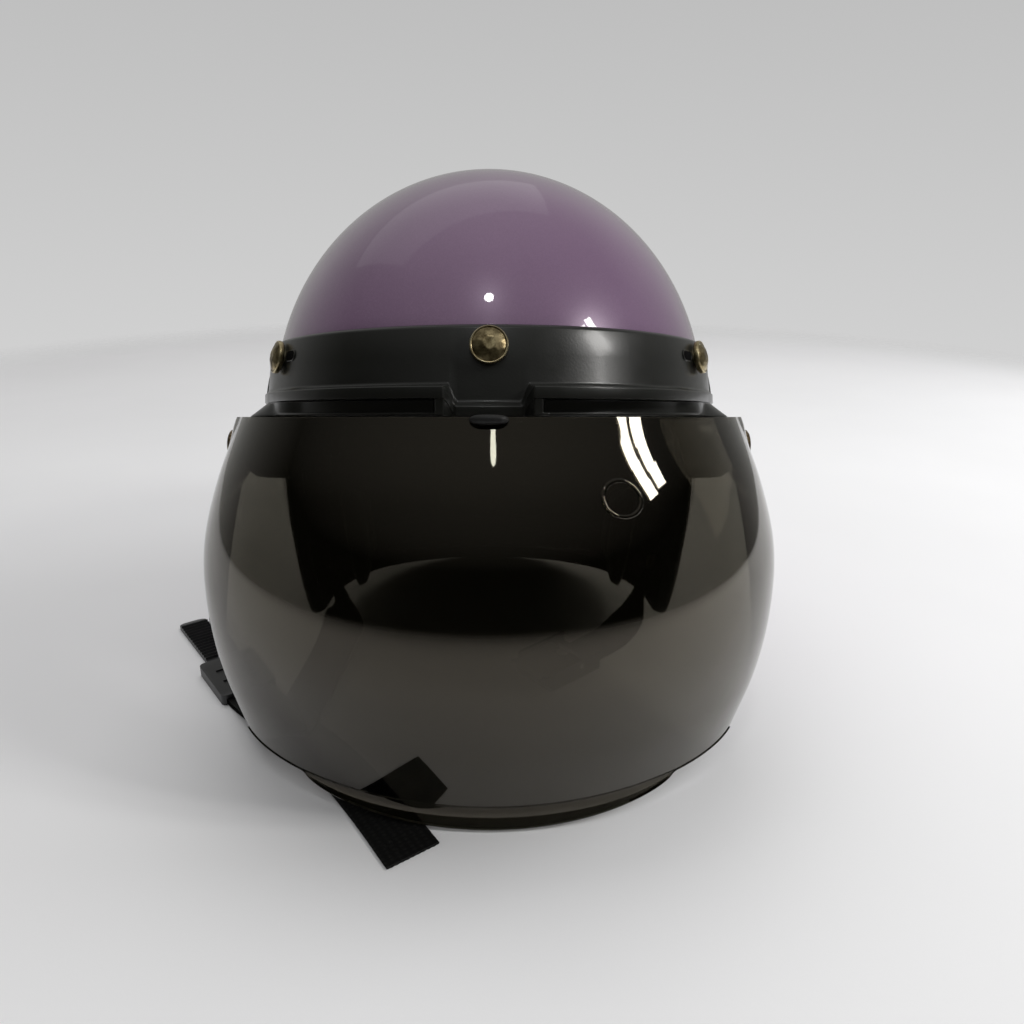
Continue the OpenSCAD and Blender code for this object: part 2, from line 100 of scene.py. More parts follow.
def curve(p, u):
    """Catmull-Rom curve through the points p, at u from 0 to len(p) - 1."""
    p = np.asarray(p, float)
    n = len(p) - 1
    i = min(int(u), n - 1)
    t = u - i
    b, c = p[i], p[i + 1]
    a = p[i - 1] if i > 0 else 2 * p[0] - p[1]
    d = p[i + 2] if i + 2 <= n else 2 * p[n] - p[n - 1]
    return (2 * b + (c - a) * t + (2 * a - 5 * b + 4 * c - d) * t * t
            + (3 * b - a - 3 * c + d) * t ** 3) / 2


def dome(a, p, d):
    """Point of the helmet's form at an angle from the face and from the crown, offset d."""
    high = CROWN_H + d if p < 90 else SKIRT_H
    return np.array([(HALF_W + d) * sind(p) * sind(a), -(HALF_L + d) * sind(p) * cosd(a),
                     high * cosd(p)])


def polar_of(z):
    return math.degrees(math.acos(z / (CROWN_H if z > 0 else SKIRT_H)))


def at(a, z, d):
    return dome(a, polar_of(z), d)


def form_normal(a, z):
    p = polar_of(z)
    return unit(np.cross(dome(a, p + .5, 0) - dome(a, p - .5, 0),
                         dome(a + .5, p, 0) - dome(a - .5, p, 0)))


def rim(i):
    k = i % COLS
    if k <= HALF_N:
        return curve(RIM, k / RIM_STEPS)
    q = curve(RIM, (COLS - k) / RIM_STEPS)
    return np.array([360 - q[0], q[1]])


def rim_in(i, m):
    """The rim point moved m millimetres into the wall."""
    a, b, c = rim(i - 3), rim(i + 3), rim(i)
    t = unit(np.array([((b[0] - a[0] + 540) % 360 - 180) * MM_PER_DEG, b[1] - a[1]]))
    return np.array([c[0] - m * t[1] / MM_PER_DEG, c[1] + m * t[0]])


def offset_of(q):
    """Offsets of points, in the helmet's own place, from the outer form."""
    lo, hi = np.full(len(q), -90.0), np.full(len(q), 40.0)
    for _ in range(40):
        d = (lo + hi) / 2
        high = np.where(q[:, 2] > 0, CROWN_H + d, SKIRT_H)
        s = (q[:, 0] / (HALF_W + d)) ** 2 + (q[:, 1] / (HALF_L + d)) ** 2 + (q[:, 2] / high) ** 2
        lo, hi = np.where(s > 1, d, lo), np.where(s > 1, hi, d)
    return (lo + hi) / 2


def own_place(co):
    """Frame metres to the helmet's own millimetres."""
    return (co / MM - LIFT) @ TILT


# ---------------------------------------------------------------- meshes

def mesh_of(name, points, faces, worn=True, raw=False):
    """Mesh from points in mm, with no double points and, unless raw, no collapsed faces."""
    p = np.asarray(points, float).reshape(-1, 3)
    if worn:
        p = p @ TILT.T + LIFT
    me = bpy.data.meshes.new(name)
    me.from_pydata((p * MM).tolist(), [], [tuple(int(i) for i in f) for f in faces])
    bm = bmesh.new()
    bm.from_mesh(me)
    bmesh.ops.remove_doubles(bm, verts=bm.verts, dist=MERGE_M)
    if not raw:
        bmesh.ops.dissolve_degenerate(bm, edges=bm.edges, dist=MERGE_M / 2)
    bmesh.ops.recalc_face_normals(bm, faces=bm.faces)
    bm.to_mesh(me)
    bm.free()
    return me


def build(name, points, faces, look, slot, body="helmet", nodes=(), worn=True, sharp=35):
    """New piece from points in mm, in the helmet's tipped place if worn, else in the frame's."""
    me = mesh_of(name, points, faces, worn)
    return piece(name, me, look, body, nodes, sharp)


def piece(name, me, look, body="helmet", nodes=(), sharp=35):
    """Object that rides on a body and takes the place of CAD nodes."""
    me.polygons.foreach_set("use_smooth", [True] * len(me.polygons))
    me.set_sharp_from_angle(angle=math.radians(sharp))
    o = bpy.data.objects.new(name, me)
    scene.collection.objects.link(o)
    me.materials.clear()
    me.materials.append(look)
    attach(o, body)
    if nodes:
        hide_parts(*nodes)
    return o


def bevel(o, width, segments=2, angle=35):
    m = o.modifiers.new("Bevel", "BEVEL")
    m.width, m.segments, m.limit_method = width * MM, segments, "ANGLE"
    m.angle_limit = math.radians(angle)
    m.harden_normals = False
    return o


def skin(rings, wrap=False, caps=True):
    """Points and faces of a closed tube of rings, wrapped into a loop or capped at its ends."""
    r = np.asarray(rings, float)
    n, m = r.shape[:2]
    faces = []
    for i in range(n if wrap else n - 1):
        k = (i + 1) % n
        for j in range(m):
            q = (j + 1) % m
            faces.append((i * m + j, i * m + q, k * m + q, k * m + j))
    if caps and not wrap:
        for o in (0, (n - 1) * m):
            faces += [(o + j, o + j + 1, o + m - 2 - j, o + m - 1 - j)
                      for j in range(m // 2 - 1)]
    return r.reshape(-1, 3), faces


def join(parts):
    """One list of points and faces from several."""
    points, faces, base = [], [], 0
    for p, f in parts:
        points.append(np.asarray(p, float).reshape(-1, 3))
        faces += [tuple(i + base for i in face) for face in f]
        base += len(points[-1])
    return np.concatenate(points), faces


def layer(d_out, d_in, inset, rows, low=-200.0, inner_rows=16):
    """Closed layer of the helmet between two offsets, its rim drawn in by inset."""
    edge = [rim_in(i, inset) for i in range(COLS)]
    edge = [(e[0], polar_of(max(e[1], low))) for e in edge]
    rings = [[dome(a, p * j / rows, d_out) for a, p in edge] for j in range(rows + 1)]
    rings += [[dome(a, p * j / inner_rows, d_in) for a, p in edge]
              for j in range(inner_rows, -1, -1)]
    return skin(rings, caps=False)


def moved(p, place):
    m = np.array(place)
    return np.asarray(p) @ m[:3, :3].T + m[:3, 3]


def frame_at(origin, z_axis, x_hint=(1, 0, 0)):
    """4x4 place with +Z along z_axis and +X near x_hint."""
    z = unit(np.asarray(z_axis, float))
    x = np.asarray(x_hint, float)
    x = unit(x - z * x.dot(z))
    m = np.eye(4)
    m[:3, 0], m[:3, 1], m[:3, 2], m[:3, 3] = x, np.cross(z, x), z, origin
    return m


def on_form(a, z, d=0.0):
    n = form_normal(a, z)
    return frame_at(at(a, z, 0) + d * n, n, (-n[1], n[0], 0))


def at_pivot(s):
    return frame_at((0, PIVOT_Y, PIVOT_Z), (s, 0, 0), (0, 0, 1))


def fillet(profile, radii, steps=3):
    """Closed 2-D outline with each corner rounded to its radius."""
    p = np.asarray(profile, float)
    out = []
    for i, r in enumerate(radii):
        a, b, c = p[i - 1], p[i], p[(i + 1) % len(p)]
        la, lc = np.linalg.norm(a - b), np.linalg.norm(c - b)
        if r <= 0 or min(la, lc) < 1e-6:
            out += [b] * (steps if r > 0 else 1)
            continue
        k = min(r, 0.45 * la, 0.45 * lc)
        s, e = b + (a - b) / la * k, b + (c - b) / lc * k
        for j in range(steps):
            t = j / (steps - 1)
            out.append((1 - t) ** 2 * s + 2 * t * (1 - t) * b + t * t * e)
    return out


# ---------------------------------------------------------------- materials

class Look:
    """Small helper that builds one node material."""

    def __init__(self, name, roughness, **sockets):
        self.mat = bpy.data.materials.new(name)
        self.mat.use_nodes = True
        self.tree = self.mat.node_tree
        self.shader = self.tree.nodes["Principled BSDF"]
        self.shader.inputs["Roughness"].default_value = roughness
        for key, value in sockets.items():
            self.shader.inputs[key.replace("_", " ")].default_value = value
        self.here = self.add("ShaderNodeTexCoord").outputs["Object"]

    def add(self, kind, inputs=None, **props):
        n = self.tree.nodes.new(kind)
        for key, value in props.items():
            setattr(n, key, value)
        for key, value in (inputs or {}).items():
            if isinstance(value, bpy.types.NodeSocket):
                self.tree.links.new(value, n.inputs[key])
            else:
                n.inputs[key].default_value = value
        return n

    def noise(self, scale, detail=4.0, roughness=0.55, vector=None):
        return self.add("ShaderNodeTexNoise", {"Vector": vector or self.here, "Scale": scale,
                        "Detail": detail, "Roughness": roughness}).outputs["Fac"]

    def cells(self, scale, feature="F1", vector=None, out="Distance"):
        return self.add("ShaderNodeTexVoronoi", {"Vector": vector or self.here, "Scale": scale},
                        feature=feature).outputs[out]

    def waves(self, scale, vector, direction="X", distortion=0.0):
        return self.add("ShaderNodeTexWave", {"Vector": vector, "Scale": scale,
                        "Distortion": distortion}, bands_direction=direction).outputs["Fac"]

    def maths(self, operation, a, b=0.0):
        return self.add("ShaderNodeMath", {0: a, 1: b}, operation=operation).outputs[0]

    def ramp(self, value, stops):
        n = self.add("ShaderNodeValToRGB", {"Fac": value})
        e = n.color_ramp.elements
        while len(e) < len(stops):
            e.new(0.5)
        for item, (place, colour) in zip(e, stops):
            item.position, item.color = place, (*colour, 1)
        return n.outputs["Color"]

    def colour(self, value, *stops):
        """Base colour from a ramp of (place, (r, g, b)) over value."""
        self.tree.links.new(self.ramp(value, stops), self.shader.inputs["Base Color"])
        return self

    def gloss(self, value, low, high):
        n = self.add("ShaderNodeMapRange", {"Value": value, "To Min": low, "To Max": high})
        self.tree.links.new(n.outputs["Result"], self.shader.inputs["Roughness"])
        return self

    def bumps(self, *heights):
        """Bumps from (height socket, strength, distance in mm), laid over each other."""
        normal = None
        for height, strength, distance in heights:
            inputs = {"Height": height, "Strength": strength, "Distance": distance * MM}
            if normal is not None:
                inputs["Normal"] = normal
            normal = self.add("ShaderNodeBump", inputs).outputs["Normal"]
        self.tree.links.new(normal, self.shader.inputs["Normal"])
        return self


def edge_wear(look, low=0.52, high=0.6):
    """Mask of a piece's raised edges."""
    n = look.add("ShaderNodeNewGeometry").outputs["Pointiness"]
    return look.add("ShaderNodeMapRange", {"Value": n, "From Min": low, "From Max": high}
                    ).outputs["Result"]


def paint_look():
    k = Look("shell_paint", 0.3, Coat_Weight=1.0, Coat_Roughness=0.03, Metallic=0.12)
    mottle = k.noise(9.0, 3)
    flake = k.cells(2600.0, out="Color")
    tone = k.maths("ADD", k.maths("MULTIPLY", mottle, 0.75), k.maths("MULTIPLY", flake, 0.25))
    k.colour(tone, (0.25, (0.160, 0.092, 0.168)), (0.6, (0.200, 0.120, 0.206)),
             (0.85, (0.250, 0.158, 0.256)))
    k.gloss(k.noise(40.0), 0.26, 0.36)
    k.bumps((k.noise(160.0, 2), 0.05, 0.35))
    return k.mat


def rubber_look(name, base=(0.012, 0.012, 0.013), rough=0.55):
    k = Look(name, rough, Specular_IOR_Level=0.4)
    fine = k.noise(700.0, 6)
    up = tuple(c * 2.6 + 0.004 for c in base)
    k.colour(k.maths("ADD", k.maths("MULTIPLY", fine, 0.6),
                     k.maths("MULTIPLY", edge_wear(k), 0.5)), (0.3, base), (0.9, up))
    k.gloss(k.noise(60.0), rough - 0.1, rough + 0.12)
    k.bumps((fine, 0.25, 0.2))
    return k.mat


def plastic_look(name, base, rough, grain=900.0, coat=0.0, wear=2.2):
    k = Look(name, rough, Coat_Weight=coat, Coat_Roughness=0.15)
    fine = k.cells(grain)
    tone = k.maths("ADD", k.maths("MULTIPLY", k.noise(25.0), 0.5),
                   k.maths("MULTIPLY", edge_wear(k), 0.55))
    k.colour(tone, (0.2, tuple(c * 0.8 for c in base)), (0.55, base),
             (0.95, tuple(c * wear + 0.006 for c in base)))
    k.gloss(k.noise(120.0, 5), rough - 0.05, rough + 0.1)
    k.bumps((fine, 0.12, 0.12), (k.noise(60.0, 2), 0.06, 0.3))
    return k.mat


def foam_look():
    k = Look("foam", 0.85)
    bead = k.cells(330.0)
    k.colour(k.maths("ADD", k.maths("MULTIPLY", bead, 0.6), k.maths("MULTIPLY", k.noise(50.0), 0.5)),
             (0.2, (0.032, 0.032, 0.035)), (0.8, (0.062, 0.062, 0.068)))
    k.bumps((k.maths("MULTIPLY", bead, -1.0), 0.8, 1.1), (k.noise(1500.0), 0.3, 0.2))
    return k.mat


def fabric_look(name, dark, light, pitch=1.1, sheen=0.5):
    k = Look(name, 0.92, Sheen_Weight=sheen, Sheen_Roughness=0.45, Specular_IOR_Level=0.25)
    turned = k.add("ShaderNodeMapping", {"Vector": k.here, "Rotation": (0.6, 0.5, 0.75)}
                   ).outputs["Vector"]
    scale = 1000 / pitch / 6.283 * 3.0
    warp, weft = k.waves(scale, turned, "X", 0.6), k.waves(scale, turned, "Y", 0.6)
    knit = k.maths("MULTIPLY", warp, weft)
    soft = k.noise(45.0)
    k.colour(k.maths("ADD", k.maths("MULTIPLY", knit, 0.5), k.maths("MULTIPLY", soft, 0.5)),
             (0.15, dark), (0.85, light))
    k.bumps((knit, 0.55, 0.35), (k.noise(2500.0, 5), 0.3, 0.15))
    return k.mat


def webbing_look():
    k = Look("webbing", 0.7, Sheen_Weight=0.02, Sheen_Roughness=0.5, Specular_IOR_Level=0.2)
    lie = k.add("ShaderNodeAttribute", attribute_name="lie").outputs["Vector"]
    across, along = k.waves(95.0, lie, "X"), k.waves(140.0, lie, "Y")
    thread = k.maths("MULTIPLY", across, along)
    k.colour(k.maths("ADD", k.maths("MULTIPLY", thread, 0.7), k.maths("MULTIPLY", k.noise(70.0), 0.4)),
             (0.2, (0.001, 0.001, 0.001)), (0.95, (0.006, 0.006, 0.0055)))
    k.bumps((thread, 0.6, 0.3), (k.noise(3000.0), 0.3, 0.1))
    return k.mat


def metal_look(name, dark, mid, bright, rough, grain=300.0, dents=0.0):
    k = Look(name, rough, Metallic=1.0)
    tarnish = k.noise(grain, 6, 0.65)
    tone = k.maths("ADD", k.maths("MULTIPLY", tarnish, 0.75), k.maths("MULTIPLY", edge_wear(k), 0.5))
    k.colour(tone, (0.28, dark), (0.52, mid), (0.85, bright))
    k.gloss(tarnish, rough + 0.15, rough - 0.06)
    k.bumps((k.cells(420.0), dents, 0.5), (k.noise(1800.0, 4), 0.15, 0.1))
    return k.mat


def shield_look():
    k = Look("shield_smoke", 0.02, IOR=1.58, Transmission_Weight=1.0,
             Specular_Tint=(1.0, 0.9, 0.74, 1.0))
    smoke = k.noise(6.0, 3)
    k.colour(smoke, (0.3, (0.060, 0.056, 0.044)), (0.7, (0.078, 0.072, 0.057)))
    k.gloss(k.noise(35.0, 5), 0.012, 0.04)
    k.bumps((k.noise(22.0, 2), 0.012, 0.6))
    return k.mat


# Near-black plate for the snap slots: painted shade standing in for the dark inside of a recessed slot.
def slot_shade_look():
    k = Look("slot_painted_shade", 0.9, Specular_IOR_Level=0.05)
    k.colour(k.noise(200.0), (0.3, (0.002, 0.002, 0.002)), (0.7, (0.005, 0.005, 0.005)))
    return k.mat


def edge_glint_look():
    """The shield's cut edges, which pipe light and look paler than its faces: their pale colour is
    partly the frosted edge's own and partly a painted highlight for that piped light.
    """
    k = Look("shield_edge_glint", 0.3, IOR=1.58, Transmission_Weight=0.25)
    k.colour(k.noise(30.0), (0.3, (0.45, 0.45, 0.41)), (0.7, (0.60, 0.60, 0.55)))
    k.bumps((k.noise(400.0), 0.1, 0.1))
    return k.mat


LOOKS = {
    "shell_paint": paint_look(),
    "trim_rubber": rubber_look("trim_rubber"),
    "foam": foam_look(),
    "liner_fabric": fabric_look("liner_fabric", (0.016, 0.016, 0.018), (0.055, 0.055, 0.06), 1.6),
    "pad_fabric": fabric_look("pad_fabric", (0.013, 0.013, 0.014), (0.045, 0.044, 0.047), 1.1, 0.8),
    "frame_plastic": plastic_look("frame_plastic", (0.012, 0.0125, 0.011), 0.3, 1100.0, 0.2),
    "snap_brass": metal_look("snap_brass", (0.12, 0.09, 0.045), (0.52, 0.43, 0.25),
                             (0.85, 0.78, 0.56), 0.3, 260.0, 0.12),
    "snap_steel": metal_look("snap_steel", (0.2, 0.19, 0.17), (0.42, 0.4, 0.36),
                             (0.7, 0.68, 0.62), 0.3),
    "screw_bronze": metal_look("screw_bronze", (0.07, 0.05, 0.03), (0.26, 0.19, 0.11),
                               (0.6, 0.5, 0.34), 0.3, 220.0),
    "steel": metal_look("steel", (0.28, 0.28, 0.28), (0.5, 0.5, 0.5), (0.8, 0.8, 0.8), 0.28),
    "shield_smoke": shield_look(),
    "tab_rubber": rubber_look("tab_rubber", (0.008, 0.008, 0.008), 0.5),
    "bush_plastic": plastic_look("bush_plastic", (0.02, 0.02, 0.02), 0.4),
    "webbing": webbing_look(),
    "buckle_plastic": plastic_look("buckle_plastic", (0.014, 0.014, 0.0145), 0.38),
    "lever_plastic": plastic_look("lever_plastic", (0.02, 0.02, 0.021), 0.34),
}
LOOKS["thread"] = fabric_look("thread", (0.02, 0.02, 0.021), (0.07, 0.07, 0.072), 0.5)
LOOKS["slot_painted_shade"] = slot_shade_look()


def make(name, shape, slot, look=None, **more):
    return build(name, *shape, LOOKS[look or slot], slot, **more)


# ---------------------------------------------------------------- shell, trim and foam

make("shell_painted", layer(0, -SHELL_T, 0, 48), "shell_paint", nodes=("shell",))


def trim_shape():
    """Rubber channel over the rim, with a round bead on its outer lip."""
    outer = [(0.6, -4), (0.9, -4.25), (1.5, -4.3), (2.0, -4.0), (2.15, -3.2), (1.95, -2.4), (2.0, -1.6),
             (2.25, -0.6), (2.25, 0.5), (1.9, 1.5), (1.2, 2.2), (0.3, 2.55), (-1.6, 2.7),
             (-3.6, 2.7), (-4.5, 2.3), (-5.1, 1.5), (-5.3, 0.6), (-5.3, -3.4), (-5.0, -4.0),
             (-4.4, -4.1), (-3.8, -4)]
    inner = [(-3.8, 1.4), (0.6, 0.6)]
    rings = []
    for i in range(COLS):
        r = rim(i)
        p, q = [at(e[0], e[1], 0) for e in (rim(i - 1), rim(i + 1))]
        n = form_normal(*r)
        b = unit(np.cross(n, unit(q - p)))
        rings.append([at(r[0], r[1], 0) + e[0] * n - e[1] * b for e in outer + inner])
    return skin(rings, wrap=True)


make("edge_bead", trim_shape(), "trim_rubber", nodes=("edge_trim",))
bevel(make("foam_core", layer(-SHELL_T - 1.2, -SHELL_T - FOAM_T, 30, 30, inner_rows=30), "foam",
           nodes=("foam_liner",)), 2.0, 3, 50)

# ---------------------------------------------------------------- visor frame


def along_hood(a):
    """0 in the notch between the two air hoods, 1 along them."""
    return ease((abs(a) - 5.8) / 2)


def hood(a):
    """How far a hood stands out."""
    return HOOD_D * along_hood(a) * (1 - ease((abs(a) - 12) / 62))


def slot_open(a):
    """1 where a hood's front slot is open."""
    return ease((abs(a) - 9) / 1.5) * (1 - ease((abs(a) - 42) / 10))


def frame_low(a):
    """Height of the frame's lower edge, which drops where the pivot arms are."""
    return mix(-7, -33, ease((abs(a) - 40) / 12) * (1 - ease((abs(a) - 63) / 11)))


def to_boss(p):
    """Blends a point of the frame onto the flat boss round its pivot."""
    r = math.hypot(p[1] - PIVOT_Y, p[2] - PIVOT_Z)
    w = 1 - ease((r - BOSS_FLAT_R) / (BOSS_BLEND_R - BOSS_FLAT_R))
    return np.array([mix(p[0], math.copysign(BOSS_X, p[0]), w), p[1], p[2]])


def frame_shape():
    wall_d, ledge_d, back_d, arm_rows = 3.5, 5.1, 4.0, 8
    fascia_h, sill_drop, notch_drop, notch_d = 4.2, 9.2, 6.8, 8.0
    half = sorted({*np.arange(0, 5.5, 0.8), *np.arange(5.5, 11.0, 0.16),
                   *np.arange(11, BAND_END - 6, 0.8), *np.arange(BAND_END - 6, BAND_END, 0.4),
                   BAND_END})
    angles = [-a for a in reversed(half) if a > 0] + half

    def ring(a):
        k, opened, end = along_hood(a), slot_open(a), ease((BAND_END - abs(a)) / 6)
        top, foot = mix(SNAP_Z + 2, BAND_TOP, end), mix(SNAP_Z - 3, LEDGE_Z, end)
        edge, front = foot - notch_drop * (1 - k), mix(notch_d, ledge_d + hood(a), k)
        slot_top = edge - fascia_h
        slot_low = min(slot_top - 0.5, foot - sill_drop)
        deep = mix(front - 0.5, back_d, opened)
        sill = mix(front - 0.5, back_d + 0.8 * (front - back_d), opened)
        low = min(slot_low - 3.2, frame_low(a) + foot - LEDGE_Z)
        arm = [(back_d, mix(slot_low - 2.5, low, j / arm_rows)) for j in range(1, arm_rows + 1)]
        outer = [(1.6, top + 0.4), (wall_d, top - 1), (wall_d, mix(top, edge, 0.5)),
                 (wall_d, edge + 1.5), (front, edge), (front, slot_top), (deep, slot_top - 0.2),
                 (deep, slot_low), (sill, slot_low - 0.1), (sill, slot_low - 1.3),
                 (back_d, slot_low - 2.2)] + arm
        radii = [0.5, 1.0, 0, 1.2, 0.45, 0.4, 0.3, 0.3, 0.3, 0.4, 0.7] + [0] * (arm_rows - 1) + [1.0]
        bottom, head = outer[-1][1], top - 0.2
        inner = []
        for j in range(arm_rows + 8, -1, -1):
            z = mix(head, bottom, j / (arm_rows + 8))
            inner.append((mix(2.5, 0.4, ease((z - 10) / 3)), z))
        outline = fillet(outer + inner, radii + [0] * len(inner), 4)
        return [to_boss(at(a, e[1], e[0])) for e in outline]

    rings = [ring(a) for a in angles]
    m = len(rings[0])
    p, f = skin(rings, caps=False)
    f += [tuple(range(m)), tuple(range((len(rings) - 1) * m, len(rings) * m))]
    return p, f


make("visor_frame_moulded", frame_shape(), "frame_plastic", nodes=("visor_frame",))


def obround(place, l, w, h, rim_w=0.0, steps=12):
    """Points and faces of a low plate with round ends, or of its rim when rim_w is given."""
    def outline(grow):
        ends = []
        for s in (1, -1):
            for t in np.linspace(-90, 90, steps):
                ends.append((s * ((l - w) / 2) + s * (w / 2 + grow) * cosd(t),
                             s * (w / 2 + grow) * sind(t)))
        return ends

    if rim_w:
        rings = [[(x, y, z) for x, y in outline(g)]
                 for g, z in ((0, -0.6), (0, h * 0.8), (rim_w * 0.3, h), (rim_w * 0.7, h),
                              (rim_w, h * 0.6), (rim_w, -0.6))]
        r = np.array(rings).transpose(1, 0, 2)
        p, f = skin(r, wrap=True)
    else:
        rings = [[(x, y, z) for x, y in outline(g)]
                 for g, z in ((0, -0.6), (0, h * 0.6), (-0.25, h))]
        p, f = skin(rings, caps=False)
        m = 2 * steps
        f += [tuple(range(m)), tuple(range(2 * m, 3 * m))]
    return moved(p, place), f


SLOT_ANGLE, SLOT_L, SLOT_W, BAND_FACE = 49.6, 9.5, 4.2, 3.4
for side, s in (("left", 1), ("right", -1)):
    place = on_form(s * SLOT_ANGLE, SNAP_Z + 0.3, BAND_FACE)
    # The slot plate is painted shade for the slot's hollow; the rim round it is real.
    make(f"snap_slot_{side}", obround(place, SLOT_L, SLOT_W + 0.2, 0.42), "frame_plastic",
         "slot_painted_shade")
    make(f"snap_slot_rim_{side}", obround(place, SLOT_L, SLOT_W, 0.5, rim_w=0.5),
         "frame_plastic")

# ---------------------------------------------------------------- snaps


def cap_shape(a, seed):
    """Snap cap: a hammered low dome, whose flats are planes touching the dome, in a rolled rim."""
    rng = np.random.default_rng(seed)
    r0, rise = CAP_D / 2, CAP_H - 1.2
    face_r = r0 - 1.15
    seeds = [(rng.uniform(-0.4, 0.4), rng.uniform(-0.4, 0.4))]
    for ring_r, count in ((4.5, 7), (6.6, 12)):
        phase = rng.uniform(0, 60)
        for k in range(count):
            t = math.radians(phase + 360 * k / count + rng.uniform(-8, 8))
            q = ring_r + rng.uniform(-0.4, 0.4)
            seeds.append((q * math.cos(t), q * math.sin(t)))
    s = np.array(seeds)
    curve_k = rise * 0.78 / (r0 * r0)
    depth = np.concatenate([[0.14], rng.uniform(0.0, 0.07, 7), rng.uniform(0.0, 0.04, 12)])
    soften = 0.035

    def height(x, y):
        base = -curve_k * (s ** 2).sum(1)
        planes = (base - 2 * curve_k * ((x - s[:, 0]) * s[:, 0] + (y - s[:, 1]) * s[:, 1])
                  - depth)
        low = planes.min()
        return low - soften * math.log(np.exp((low - planes) / soften).sum())

    steps, rows = 72, 22
    rings = []
    for t in np.linspace(0, 2 * math.pi, steps, endpoint=False):
        c, n = math.cos(t), math.sin(t)
        line = []
        for j in range(rows + 1):
            r = face_r * j / rows
            line.append((r * c, r * n, CAP_BASE + CAP_H + height(r * c, r * n)))
        for r, z in ((r0 - 1.0, 2.35), (r0 - 0.8, 2.55), (r0 - 0.45, 2.6), (r0 - 0.12, 2.3),
                     (r0, 1.7), (r0, 0.9), (r0 - 0.25, 0.3), (r0 - 0.8, 0.0), (3.9, 0.0),
                     (3.9, 1.9), (0, 1.9)):
            line.append((r * c, r * n, CAP_BASE + z))
        rings.append(line)
    p, f = skin(rings, wrap=True)
    m = rows + 12
    f = [q for q in f if q[1] % m != 0]
    return moved(p, on_form(a, SNAP_Z)), f


for name, a, seed in zip(("center", "left", "right"), SNAP_ANGLES, (5, 11, 17)):
    make(f"cap_hammered_{name}", cap_shape(a, seed), "snap_brass", nodes=(f"snap_cap_{name}",),
         sharp=40)

# ---------------------------------------------------------------- shield


def shield_raw(u, v):
    """Outer face of the shield: u from -1 to 1 across it, v from 0 at its top to 1 at its foot."""
    q = curve(SHIELD, v * (len(SHIELD) - 1))
    deep = q[2] - q[1]
    end = math.degrees(math.acos((q[2] - q[3]) / deep))
    a = end * sind(90 * u)
    low = VISOR_BOTTOM + CORNER_RISE * sind(a) ** 2
    p = np.array([q[0] * sind(a), q[2] - deep * cosd(a), mix(VISOR_TOP, low, v)])
    if abs(a) < 45:
        return p
    r = math.hypot(p[1] - PIVOT_Y, p[2] - PIVOT_Z)
    w = 1 - ease((r - EAR_FLAT_R) / (EAR_BLEND_R - EAR_FLAT_R))
    p[0] = mix(p[0], math.copysign(EAR_X, p[0]), w)
    return p


def shield_normal(u, v, d=0.01):
    u0, u1, v0, v1 = max(-1, u - d), min(1, u + d), max(0, v - d), min(1, v + d)
    return unit(np.cross(shield_raw(u, v1) - shield_raw(u, v0),
                         shield_raw(u1, v) - shield_raw(u0, v)))


def shield_shape(cols=150, rows=60):
    def step(j):
        return (1 - cosd(180 * j / rows)) / 2

    def ring(u):
        edge = shield_raw(u, 1)
        fall = 0.6 + (LIP_H - 0.6) * math.sqrt(max(0, 1 - (edge[0] / 80) ** 2))
        back = unit(np.array([edge[0], edge[1] - PIVOT_Y, 0]))
        foot = edge + 0.1 * fall * back - np.array([0, 0, fall])
        down = [mix(edge, foot, t) for t in (0.33, 0.66)]
        out = [shield_raw(u, step(j)) for j in range(rows + 1)] + down
        nose = [foot + 0.4 * back + (0, 0, 0.5), foot, foot - 0.5 * VISOR_T * back - (0, 0, 0.1),
                foot - VISOR_T * back + (0, 0, 0.2)]
        up = [mix(edge, foot, t) - VISOR_T * back for t in (0.66, 0.33)]
        inside = [shield_raw(u, step(j)) - VISOR_T * shield_normal(u, step(j))
                  for j in range(rows, -1, -1)]
        return out + nose + up + inside

    rings = [ring(u) for u in np.linspace(-1, 1, cols + 1)]
    m = len(rings[0])
    p, f = skin(rings, caps=False)
    for o in (0, cols * m):
        outs, ins = list(range(rows + 5)), list(range(m - 1, rows + 6, -1))
        k = min(len(outs), len(ins))
        f += [(o + outs[j], o + outs[j + 1], o + ins[j + 1], o + ins[j]) for j in range(k - 1)]
        rest = list(range(o + outs[k - 1], o + ins[k - 1] + 1))
        if len(rest) > 2:
            f.append(tuple(rest))
    return p, f


shield = make("shield_bubble", shield_shape(), "shield_smoke", body="visor",
              nodes=("visor_shield",), sharp=40)
shield.data.materials.append(edge_glint_look())
# Faces on the shield's top edge and under its lip take the pale cut-edge colour, partly a painted
# highlight.
for face in shield.data.polygons:
    up = (np.array(face.normal) @ TILT)[2]
    z = own_place(np.array(face.center))[2]
    on_top = up > 0.75 and z > VISOR_TOP - VISOR_T
    under_lip = up < -0.8 and z < VISOR_BOTTOM - VISOR_T
    if on_top or under_lip:
        face.material_index = 1
bevel(shield, 0.35, 2, 50)


def ring_mark():
    """Plain raised oval on the shield's face."""
    u0, v0, half_w, half_h = 0.15, 0.188, 7.7, 6.9
    d = 0.01
    su = np.linalg.norm(shield_raw(u0 + d, v0) - shield_raw(u0 - d, v0)) / (2 * d)
    sv = np.linalg.norm(shield_raw(u0, v0 + d) - shield_raw(u0, v0 - d)) / (2 * d)
    rings = []
    for t in np.linspace(0, 360, 72, endpoint=False):
        line = []
        for w, h in ((-1.0, -0.3), (-0.9, 0.12), (-0.5, 0.42), (0, 0.5), (0.5, 0.42), (0.9, 0.12),
                     (1.0, -0.3)):
            k = 1 + w / half_w
            u, v = u0 + half_w * k * cosd(t) / su, v0 + half_h * k * sind(t) / sv
            line.append(shield_raw(u, v) + h * shield_normal(u, v))
        rings.append(line)
    return skin(rings, wrap=True)


make("shield_oval_ring", ring_mark(), "shield_smoke", body="visor")


